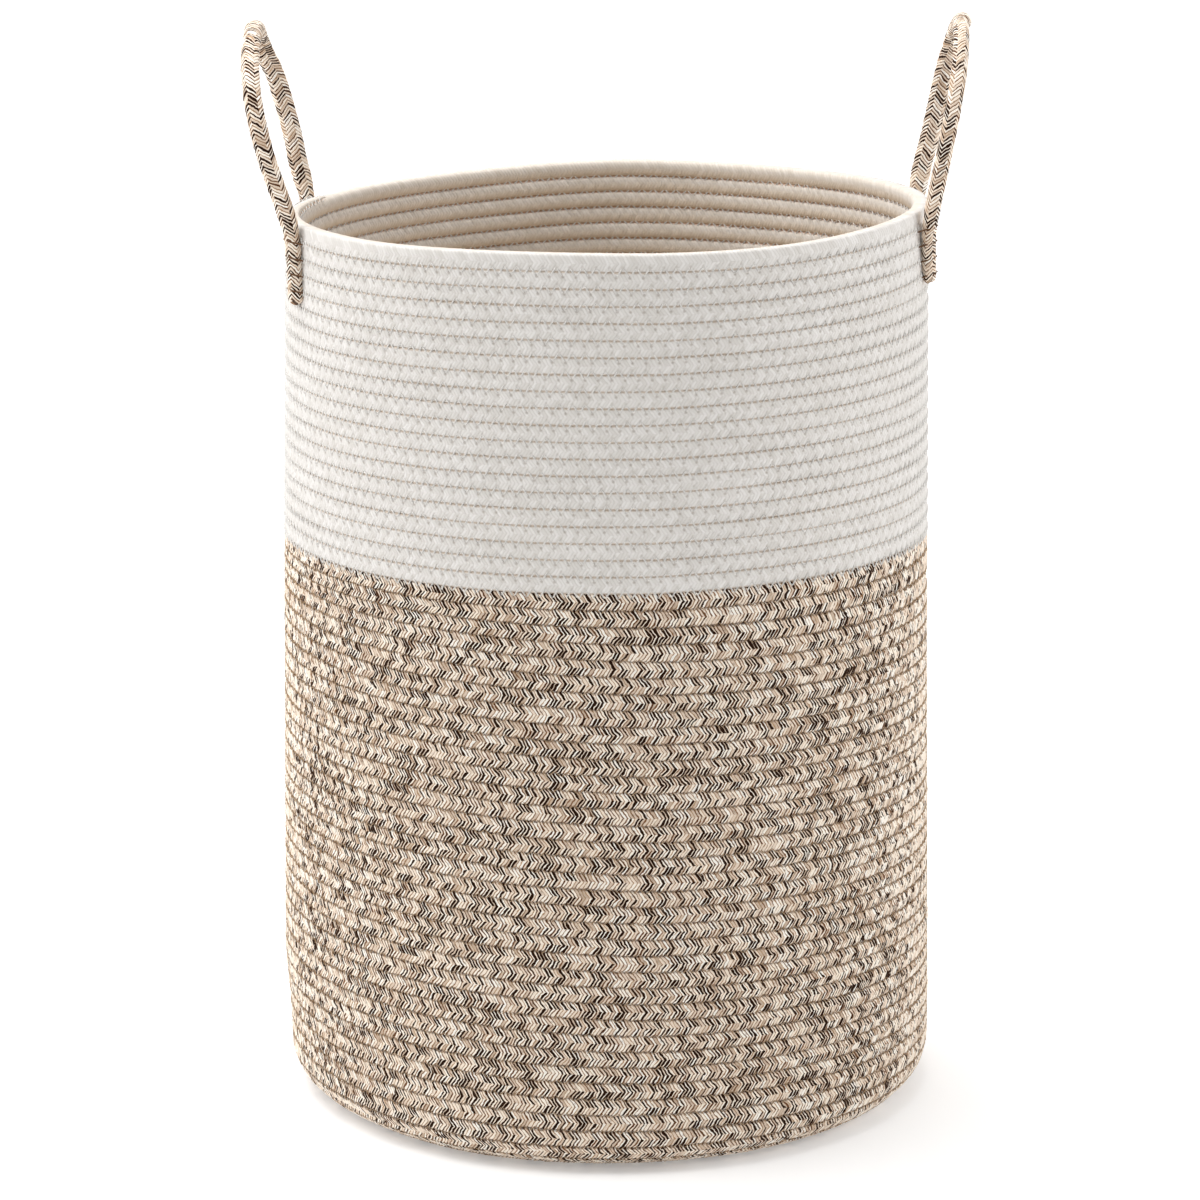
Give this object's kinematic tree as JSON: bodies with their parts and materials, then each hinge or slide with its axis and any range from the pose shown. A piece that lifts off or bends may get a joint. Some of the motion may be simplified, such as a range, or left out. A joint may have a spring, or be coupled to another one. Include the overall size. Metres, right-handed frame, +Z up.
{
  "type": "laundry basket",
  "caption": "Tall round laundry basket of sewn coiled cotton rope, white above and mottled beige below, with two standing rope handles.",
  "frame": {"origin": "centre of the basket's underside, at floor level", "axes": "+Z up; +X from the left handle to the right handle; the front faces -Y"},
  "size_m": [0.415, 0.3878, 0.6353],
  "materials": {
    "mottled_rope": "braided cotton, matte, beige with tan and black flecks",
    "white_rope": "braided cotton, matte, natural white",
    "stitch_thread": "tan sewing thread"
  },
  "bodies": {
    "basket": {"base_coil": "mottled_rope", "heel_coil": "mottled_rope", "lower_wall_coil": "mottled_rope", "upper_wall_coil": "white_rope", "rim_course": "white_rope", "base_seam_thread": "stitch_thread", "heel_seam_thread": "stitch_thread", "lower_seam_thread": "stitch_thread", "upper_seam_thread": "stitch_thread", "left_front_leg": "mottled_rope", "left_rear_leg": "mottled_rope", "right_front_leg": "mottled_rope", "right_rear_leg": "mottled_rope", "left_front_tacks": "stitch_thread", "left_rear_tacks": "stitch_thread", "right_front_tacks": "stitch_thread", "right_rear_tacks": "stitch_thread"},
    "left_handle": {"left_handle_loop": "mottled_rope"},
    "right_handle": {"right_handle_loop": "mottled_rope"}
  },
  "joints": [
    {"name": "left_handle_swing", "type": "hinge", "parent": "basket", "child": "left_handle", "pos_m": [-0.17583, 0, 0.53185], "axis": [0, 1, 0], "range_deg": [-74, 105]},
    {"name": "right_handle_swing", "type": "hinge", "parent": "basket", "child": "right_handle", "pos_m": [0.18125, 0, 0.53185], "axis": [0, -1, 0], "range_deg": [-77, 102]}
  ]
}
